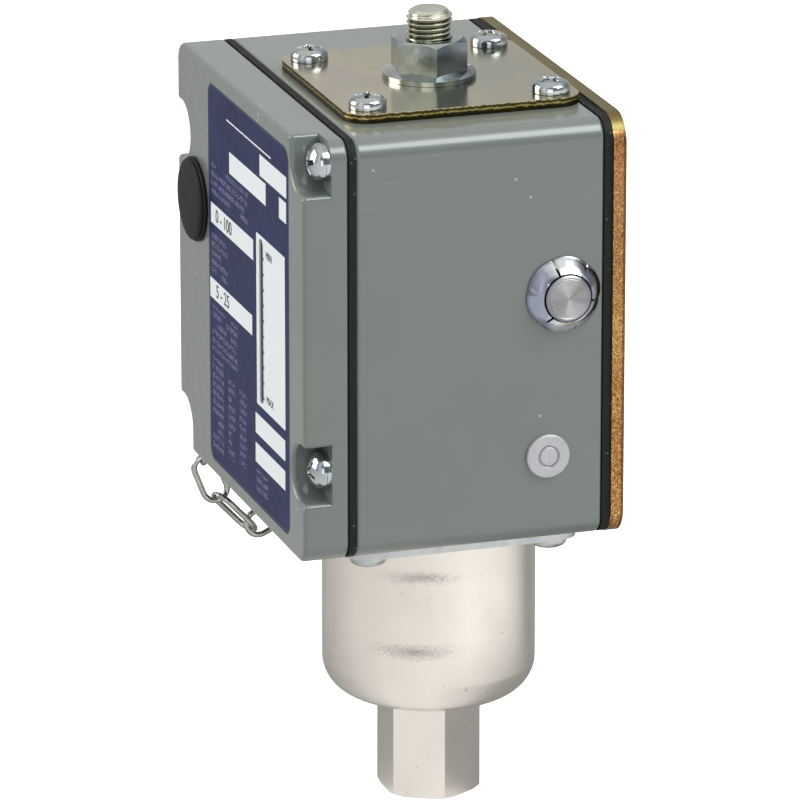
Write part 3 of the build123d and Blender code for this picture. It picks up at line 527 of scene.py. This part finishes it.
for name, piece in nodes.items():
    piece.data.materials.clear()
    piece.data.materials.append(finishOf[name])
softEdges = {"range_nut": 0.22, "top_plate": 0.15, "back_plate": 0.3, "pressure_connection": 0.2}
for name, width in softEdges.items():
    soft = nodes[name].modifiers.new("softEdges", "BEVEL")
    soft.width = width * mm
    soft.segments = 2
    soft.limit_method = "ANGLE"
    soft.angle_limit = radians(32)
    soft.harden_normals = True
print("finishes on all CAD nodes")


# making and placing new pieces

def added(name, data):
    made = bpy.data.objects.new(name, data)
    bpy.context.scene.collection.objects.link(made)
    return made


def join(bm, other):
    mesh = bpy.data.meshes.new("joined")
    other.to_mesh(mesh)
    other.free()
    bm.from_mesh(mesh)
    bpy.data.meshes.remove(mesh)


def joinCurve(bm, curve):
    maker = added(curve.name, curve)
    mesh = bpy.data.meshes.new_from_object(maker.evaluated_get(bpy.context.evaluated_depsgraph_get()))
    bpy.data.objects.remove(maker)
    bm.from_mesh(mesh)
    bpy.data.meshes.remove(mesh)


def finishPiece(bm, name, material, body, replaced=(), sharp=32):
    bmesh.ops.remove_doubles(bm, verts=bm.verts, dist=1e-6)
    bmesh.ops.recalc_face_normals(bm, faces=bm.faces)
    mesh = bpy.data.meshes.new(name)
    bm.to_mesh(mesh)
    bm.free()
    mesh.shade_smooth()
    mesh.set_sharp_from_angle(angle=radians(sharp))
    piece = added(name, mesh)
    mesh.materials.append(material)
    if body:
        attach(piece, body)
    if replaced:
        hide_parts(*replaced)
    return piece


def lathe(bm, outline, steps, turn=tau, rise=(0, 0, 0)):
    verts = [bm.verts.new((radius * mm, 0, height * mm)) for radius, height in outline]
    edges = [bm.edges.new(pair) for pair in zip(verts, verts[1:])]
    bmesh.ops.spin(bm, geom=verts + edges, cent=(0, 0, 0), axis=(0, 0, 1), dvec=rise, angle=turn,
                   steps=steps, use_merge=not any(rise) and turn == tau)


def bisect(bm, level, side, clear):
    everything = bm.verts[:] + bm.edges[:] + bm.faces[:]
    return bmesh.ops.bisect_plane(bm, geom=everything, plane_co=(0, 0, level * mm), plane_no=(0, 0, side),
                                  clear_outer=clear, dist=1e-7)


def threadOn(bm, crest, root, pitch, bottom, top, steps):
    turns = int((top - bottom) / pitch) + 3
    start = bottom - 1.5 * pitch
    outline = [(root, start), (root, start + 0.12 * pitch), (crest, start + 0.44 * pitch),
               (crest, start + 0.56 * pitch), (root, start + 0.88 * pitch), (root, start + pitch)]
    lathe(bm, outline, steps * turns, tau * turns, (0, 0, pitch * mm / steps))
    bmesh.ops.remove_doubles(bm, verts=bm.verts, dist=2e-6)
    for level, side in ((bottom, -1), (top, 1)):
        cut = bisect(bm, level, side, True)
        ring = [e for e in cut["geom_cut"] if isinstance(e, bmesh.types.BMEdge)]
        bmesh.ops.contextual_create(bm, geom=ring)


def makeStud():
    bm = bmesh.new()
    threadOn(bm, stud["crest"], stud["root"], stud["pitch"], stud["bottom"], stud["top"], stud["steps"])
    bisect(bm, stud["top"] - stud["chamfer"], 1, False)
    slopeStart = (stud["top"] - stud["chamfer"]) * mm
    for v in bm.verts:                                     # the end is turned round
        up = min(max(v.co.z - slopeStart, 0) / (stud["chamfer"] * mm), 1)
        limit = (stud["face"] + (stud["crest"] - stud["face"]) * (1 - up ** 1.35)) * mm
        radius = hypot(v.co.x, v.co.y)
        if radius > limit:
            v.co.x *= limit / radius
            v.co.y *= limit / radius
    end = [f for f in bm.faces
           if len(f.verts) > 20 and f.normal.z > 0 and f.calc_center_median().z > slopeStart]
    for f in end:
        bmesh.ops.inset_region(bm, faces=[f], thickness=0.7 * mm, depth=0)
        bmesh.ops.inset_region(bm, faces=[f], thickness=0.3 * mm, depth=-0.25 * mm)
    lead = bmesh.new()
    threadOn(lead, stud["leadCrest"], stud["leadRoot"], stud["leadPitch"], stud["leadBottom"],
             stud["bottom"], stud["leadSteps"])
    join(bm, lead)
    finishPiece(bm, "threadedStud", threadZinc, "range_adjuster", ("range_screw",), 28)


makeStud()
print("stud threaded")

# the cap's outline is radius and height, and its angles are in degrees
cap = {"outline": [(7.25, 0.0), (7.1, 0.35), (6.65, 0.95), (6.1, 1.65), (5.61, 2.2), (5.16, 2.55),
                   (4.86, 2.75)],
       "rim": 7.1, "lobe": 0.22, "lobesFrom": 5.4, "base": 36.86, "steps": 144, "thickness": 0.55,
       "firstSlit": -20, "slitHalf": 3.2, "slitsTo": 6.2}


def makeCap():
    bm = bmesh.new()
    lathe(bm, cap["outline"], cap["steps"])
    bmesh.ops.remove_doubles(bm, verts=bm.verts, dist=1e-6)
    slits = []
    for f in bm.faces:
        middle = f.calc_center_median()
        radius = hypot(middle.x, middle.y) / mm
        angle = (middle.to_2d().angle_signed(Vector((1, 0))) - radians(cap["firstSlit"])) % (tau / 3)
        if radius < cap["slitsTo"] and min(angle, tau / 3 - angle) < radians(cap["slitHalf"]):
            slits.append(f)
    bmesh.ops.delete(bm, geom=slits, context="FACES")
    for v in bm.verts:
        radius = hypot(v.co.x, v.co.y)
        angle = v.co.to_2d().angle_signed(Vector((1, 0))) - radians(cap["firstSlit"] - 30)
        share = max(0.0, (radius / mm - cap["lobesFrom"]) / (cap["rim"] - cap["lobesFrom"]))
        grow = 1 + share * cap["lobe"] / cap["rim"] * (abs(cos(3 * angle)) ** 0.4 * 2 - 1)
        v.co = Vector((v.co.z + cap["base"] * mm, v.co.y * grow + shaft["middle"][1],
                       v.co.x * grow + shaft["middle"][2]))
    bmesh.ops.recalc_face_normals(bm, faces=bm.faces)
    bmesh.ops.solidify(bm, geom=bm.faces[:], thickness=cap["thickness"] * mm)
    finishPiece(bm, "shaftRetainer", capZinc, "case", ("shaft_cap",), 40)


makeCap()

cup = {"radius": 22.3, "bottom": 22.0, "top": 59.8, "wall": 1.6, "corner": 7.2, "hole": 6.0, "arc": 14,
       "steps": 160}


def makeCup():
    outer, inner = cup["corner"], cup["corner"] - cup["wall"]
    side, floor = cup["radius"], cup["bottom"]
    turns = [radians(90 * k / cup["arc"]) for k in range(cup["arc"] + 1)]
    outline = [(cup["hole"], floor)]
    outline += [(side - outer + outer * sin(a), floor + outer - outer * cos(a)) for a in turns]
    outline += [(side, cup["top"]), (side - cup["wall"], cup["top"])]
    side, floor = side - cup["wall"], floor + cup["wall"]
    outline += [(side - inner + inner * sin(a), floor + inner - inner * cos(a)) for a in reversed(turns)]
    outline += [(cup["hole"], floor), outline[0]]
    bm = bmesh.new()
    lathe(bm, outline, cup["steps"])
    finishPiece(bm, "drawnCup", nickelSkin, "case", ("bellows_cup",), 40)


makeCup()

coverFace = -38.6                                          # on Y, in millimetres
plug = {"x": -38.2, "z": 121.0, "steps": 96,
        "outline": [(0.0, 2.0), (4.5, 1.97), (7.2, 1.86), (8.05, 1.66), (8.5, 1.38), (8.62, 1.12),
                    (8.5, 0.92), (8.72, 0.86), (8.95, 0.66), (8.98, 0.40), (8.85, 0.12), (8.7, 0.03),
                    (6.2, 0.03), (6.2, -2.9), (6.0, -3.6), (5.2, -3.75), (0.0, -3.75)]}


# turns what was made flat on Z to face the front
def ontoCover(bm, x, z):
    for v in bm.verts:
        v.co = Vector((v.co.x + x * mm, coverFace * mm - v.co.z, v.co.y + z * mm))


def makePlug():
    bm = bmesh.new()
    lathe(bm, plug["outline"], plug["steps"])
    ontoCover(bm, plug["x"], plug["z"])
    finishPiece(bm, "holePlug", plugBlack, "plug", ("hole_plug",), 50)


makePlug()
print("cap, cup and plug made")

# pan heads: a dome is its edge's height, its top's height and two powers of its curve
pan = {"rim": 3.86, "band": 3.9, "foot": 3.76, "bevel": 0.14, "rings": 34, "steps": 112,
       "round": {"cover": (0.80, 2.95, 2.0, 0.62), "plate": (1.30, 2.68, 2.9, 0.52)},
       "wing": 2.45, "half": 0.46, "deep": 1.5, "core": 0.5, "wallSlope": 0.2, "endSlope": 0.25,
       "shank": 1.95, "collar": 3.78, "sunk": 0.2, "tip": 1.3, "tipLength": 0.6,
       "turns": (0.3, 1.15, 0.72, 1.4)}
corners = [(19.5, 19.5), (19.5, -19.5), (-19.5, 19.5), (-19.5, -19.5)]
# name, node, body, plating, length, collar, axis, places: the cover's captive screws stand on collars
screwSets = [
    ("coverScrewHeads", "cover_screws", "cover", zinc, 14.5, 0.9, (0, -1, 0),
     [(32.8, -33.5, 147.5), (32.8, -33.5, 83.0), (-47.2, -33.5, 68.9), (-47.2, -33.5, 133.4)]),
    ("topScrewHeads", "top_plate_screws", "case", zinc, 9.2, 0.0, (0, 0, 1),
     [(x, y, 154.2) for x, y in corners]),
    ("bottomScrewHeads", "bottom_plate_screws", "case", dullZinc, 7.2, 0.0, (0, 0, -1),
     [(x, y, 59.8) for x, y in corners])]


# how deep the cross is at a point of the head
def crossRecess(x, y):
    far, near = max(abs(x), abs(y)), min(abs(x), abs(y))
    half = pan["half"] + max(0.0, pan["core"] - 0.5 * far)
    side = min(max((half - near) / pan["wallSlope"], 0.0), 1.0)
    end = min(max((pan["wing"] - far) / pan["endSlope"], 0.0), 1.0)
    return pan["deep"] * (1 - 0.45 * far / pan["wing"]) * side * end


def panHead(bm, length, collar, axis, place, turn):
    edge, top, swell, fall = pan["round"]["cover" if collar else "plate"]
    outline = []
    for k in range(pan["rings"]):
        out = k / pan["rings"]
        outline.append((pan["rim"] * out, edge + (top - edge) * (1 - out ** swell) ** fall))
    outline += [(pan["rim"], edge), (pan["band"], edge - pan["bevel"]), (pan["band"], pan["bevel"]),
                (pan["foot"], 0.0)]
    waist = pan["collar"] if collar else pan["shank"]
    seat = -pan["sunk"] - collar
    outline += [(waist, 0.0), (waist, seat), (pan["shank"], seat),
                (pan["shank"], pan["tipLength"] - length), (pan["tip"], -length), (0, -length)]
    head = bmesh.new()
    lathe(head, outline, pan["steps"])
    sunk = {v: crossRecess(v.co.x / mm, v.co.y / mm) for v in head.verts if v.co.z > edge * mm}
    for v, drop in sunk.items():
        v.co.z -= drop * mm
    for f in head.faces:
        # painted shade: faces deep in the cross take the dark recess plating
        f.material_index = int(min(sunk.get(v, 0) for v in f.verts) > 0.12)
    frameTurn = Vector((0, 0, 1)).rotation_difference(Vector(axis)).to_matrix().to_4x4()
    spun = frameTurn @ Matrix.Rotation(turn, 4, "Z")
    spun.translation = Vector(place) * mm
    bmesh.ops.transform(head, matrix=spun, verts=head.verts)
    join(bm, head)


for name, replaced, body, plating, length, collar, axis, places in screwSets:
    bm = bmesh.new()
    for place, turn in zip(places, pan["turns"]):
        panHead(bm, length, collar, axis, place, turn)
    heads = finishPiece(bm, name, plating, body, (replaced,), 34)
    heads.data.materials.append(recessShadeZinc)
print("screw heads made")


# the springs, which sit between the bodies that they join
springs = [("adjustingSpring", "range_spring", "case", "carriage", 2),
           ("differentialLeaf", "differential_spring", "trip_lever", "case", 1)]
endCoil, leafClamp, leafTip = 0.8 * mm, -2.0 * mm, 2.0 * mm
for name, node, first, second, axis in springs:
    low, high = (Vector(corner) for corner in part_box(node))
    middle = (low + high) / 2
    ends = [middle.copy(), middle.copy()]
    if node == "range_spring":
        ends[0][axis], ends[1][axis] = low[axis] + endCoil, high[axis] - endCoil
    else:                                                  # the leaf is clamped behind and touches the cam
        ends[0][axis], ends[1][axis] = leafClamp, low[axis] + leafTip
    bm = bmesh.new()
    bm.from_mesh(nodes[node].data)
    spring = finishPiece(bm, name, springWire, None, (node,), 40)
    tuple(ends[0])
    tuple(ends[1])
    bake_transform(spring)


# the cover's chain: pull points (y, z) in the plane of both eyes, as it hangs in the photograph
chain = {"x": -40.4, "wire": 0.66, "half": 2.6, "tilts": [8, 72, -6, 80],
         "pulls": [(-36.9, 62.7), (-33.6, 54.2), (-26.5, 46.6), (-16.9, 51.2), (-9.1, 59.4)]}
eye = {"y": -36.9, "z": 63.45, "radius": 1.35, "wire": 0.6, "stem": 66.0}


def wireLoop(bm, points, radius, closed=True):
    curve = bpy.data.curves.new("wire", "CURVE")
    curve.dimensions = "3D"
    curve.bevel_depth = radius * mm
    curve.bevel_resolution = 5
    spline = curve.splines.new("POLY")
    spline.points.add(len(points) - 1)
    for point, place in zip(spline.points, points):
        point.co = (*(Vector(place) * mm), 1)
    spline.use_cyclic_u = closed
    joinCurve(bm, curve)


def chainLink(bm, start, end, tilt):
    a, b = Vector((chain["x"], *start)), Vector((chain["x"], *end))
    along = (b - a).normalized()
    flat = Vector((0, -along.z, along.y))
    across = flat * cos(radians(tilt)) + Vector((1, 0, 0)) * sin(radians(tilt))
    straight = (b - a).length / 2 + chain["wire"] - chain["half"]
    points = []
    for side, first in ((1, -90), (-1, 90)):
        for k in range(19):
            angle = radians(first + 10 * k)
            ahead = side * straight + chain["half"] * cos(angle)
            points.append((a + b) / 2 + along * ahead + across * chain["half"] * sin(angle))
    wireLoop(bm, points, chain["wire"])


bm = bmesh.new()
for start, end, tilt in zip(chain["pulls"], chain["pulls"][1:], chain["tilts"]):
    chainLink(bm, start, end, tilt)
links = finishPiece(bm, "coverChain", chainSteel, None, ("retaining_chain",), 60)
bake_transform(links)

bm = bmesh.new()
turns = [radians(12 * k) for k in range(30)]
ring = [(chain["x"] + eye["radius"] * sin(a), eye["y"], eye["z"] + eye["radius"] * cos(a)) for a in turns]
stem = [(chain["x"], eye["y"], eye["z"] + eye["radius"]), (chain["x"], eye["y"], eye["stem"])]
wireLoop(bm, ring, eye["wire"])
wireLoop(bm, stem, eye["wire"], False)
finishPiece(bm, "coverEye", chainSteel, "cover", ("cover_chain_eye",), 60)
print("chain hung")

# text, x, z and size
lettering = [("MIN", 11.3, 121.9, 2.3), ("MAX", 11.3, 91.2, 2.3), ("0 - 100", -24.0, 119.9, 4.0),
             ("5 - 25", -24.0, 103.6, 4.0)]
inkPaint = mouldedBlack("markInk", (0.03, 0.032, 0.06), 0.5)
inkThickness = 0.012


def letter(text, x, z, size):
    name = "mark" + "".join(c for c in text if c.isalnum())
    curve = bpy.data.curves.new(name, "FONT")
    curve.body = text
    curve.size = size * mm
    curve.extrude = inkThickness * mm
    bm = bmesh.new()
    joinCurve(bm, curve)
    ontoCover(bm, x, z)
    finishPiece(bm, name, inkPaint, "cover")


for mark in lettering:
    letter(*mark)


# floor, lights and camera

def byRay(paint, lit, seen, shone):
    rays = paint.node("ShaderNodeLightPath").socket.node.outputs
    kinds = ("Is Camera Ray", "Is Glossy Ray", "Is Transmission Ray")
    camera, glossy, through = (Wire(paint, rays[kind]) for kind in kinds)
    mixed = paint.node("ShaderNodeMixShader", {}, {0: glossy.top(through), 1: lit, 2: shone})
    paint.show(paint.node("ShaderNodeMixShader", {}, {0: camera, 1: mixed, 2: seen}))


# what shiny surfaces see of the studio: pairs of bearing and brightness
floorFan = [(0.0, 0.42), (0.04, 0.40), (0.08, 0.52), (0.13, 0.56), (0.24, 0.84), (0.45, 1.00),
            (0.50, 1.14), (0.56, 1.30), (0.66, 1.16), (0.72, 0.92), (0.76, 0.58), (0.79, 0.34),
            (0.87, 0.42), (0.95, 0.46)]
skyFan = [(0.0, 0.62), (0.04, 0.60), (0.09, 0.46), (0.17, 0.34), (0.24, 0.38), (0.30, 0.75),
          (0.335, 1.15), (0.37, 0.70), (0.41, 0.30), (0.50, 0.22), (0.57, 0.30), (0.64, 0.28),
          (0.675, 0.30), (0.69, 0.95), (0.71, 0.34), (0.80, 0.30), (0.90, 0.50), (0.96, 0.62)]
# what the hexagon reflects, right below the part
nearFan = [(0.0, 0.34), (0.08, 0.36), (0.20, 0.55), (0.34, 0.95), (0.46, 1.04), (0.56, 0.80),
           (0.64, 0.42), (0.74, 0.34), (0.90, 0.32)]
studio = {"floorRadius": 3.5, "near": (0.085, 0.110), "ambient": 0.50, "high": (0.58, 0.78),
          "overhead": 0.85, "boxHeight": (0.60, 0.93), "boxBearing": (0.50, 0.71), "box": 2.4}


def fanRamp(p, stops):
    return p.ramp(p.bearing(), [(at, grey(level)) for at, level in stops])


def makeFloor():
    bm = bmesh.new()
    bmesh.ops.create_circle(bm, cap_ends=True, segments=96, radius=studio["floorRadius"])
    mesh = bpy.data.meshes.new("floor")
    bm.to_mesh(mesh)
    bm.free()
    floor = added("floor", mesh)
    p = Paint("paleFloor")
    plain = p.node("ShaderNodeBsdfDiffuse", {}, {"Color": (0.80, 0.80, 0.79, 1)})
    dimmed = p.node("ShaderNodeBsdfDiffuse", {}, {"Color": (0.50, 0.50, 0.49, 1)})
    glow = p.node("ShaderNodeEmission", {}, {"Color": (1, 1, 1, 1), "Strength": 0.62})
    seen = p.node("ShaderNodeAddShader", {}, {0: plain, 1: glow})
    away = p.between(p.around((0, 0, 0), 2), *studio["near"])
    fan = p.mix(away, fanRamp(p, nearFan), fanRamp(p, floorFan))
    shone = p.node("ShaderNodeEmission", {}, {"Color": fan, "Strength": 1.0})
    byRay(p, dimmed, seen, shone)
    mesh.materials.append(p.material)


# name, place, size, power, colour, and whether shiny surfaces show it
lamps = [("keyLight", (0.75, 0.70, 1.15), 0.9, 14.0, (0.91, 1, 0.98), True),
         ("frontLight", (-0.55, -1.25, 0.55), 0.9, 12.5, (1, 0.95, 0.89), True),
         ("sideLight", (1.35, -0.55, 0.35), 0.8, 3.0, (1, 1, 1), True),
         ("topLight", (-0.25, 0.1, 1.45), 0.9, 6.0, (1, 0.94, 0.86), False)]
aim = (0, 0, 0.1)


def makeLights():
    for name, place, size, power, colour, shiny in lamps:
        data = bpy.data.lights.new(name, "AREA")
        data.size = size
        data.energy = power
        data.color = colour
        lamp = added(name, data)
        lamp.location = place
        lamp.visible_glossy = shiny
        lamp.rotation_euler = (Vector(aim) - lamp.location).to_track_quat("-Z", "Y").to_euler()
    p = Paint("studio", "worlds", "ShaderNodeOutputWorld", "Generated")
    bpy.context.scene.world = p.material
    ambient = p.node("ShaderNodeBackground", {}, {"Color": (1, 1, 1, 1), "Strength": studio["ambient"]})
    white = p.node("ShaderNodeBackground", {}, {"Color": (1, 1, 1, 1), "Strength": 1.0})
    sky = p.mix(p.between(p.z, *studio["high"]), fanRamp(p, skyFan), grey(studio["overhead"]))
    bearing = p.bearing()
    (low, high), (left, right) = studio["boxHeight"], studio["boxBearing"]
    box = (p.z > low) * (p.z < high) * (bearing > left) * (bearing < right)  # a soft box overhead
    sky = p.mix(box, sky, grey(studio["box"]))
    shone = p.node("ShaderNodeBackground", {}, {"Color": sky, "Strength": 1.0})
    byRay(p, ambient, white, shone)


camera = {"place": (1.34490, -0.44624, 0.53621), "look": (-0.905553, 0.296246, -0.303664), "lens": 323.2}


def makeCamera():
    data = bpy.data.cameras.new("camera")
    data.lens = camera["lens"]
    data.sensor_width = 36
    data.clip_start = 0.05
    viewer = added("camera", data)
    viewer.location = camera["place"]
    viewer.rotation_euler = Vector(camera["look"]).to_track_quat("-Z", "Y").to_euler()
    bpy.context.scene.camera = viewer


makeFloor()
makeLights()
makeCamera()
bpy.context.scene.view_settings.view_transform = "Standard"
print("floor, lights and camera ready")
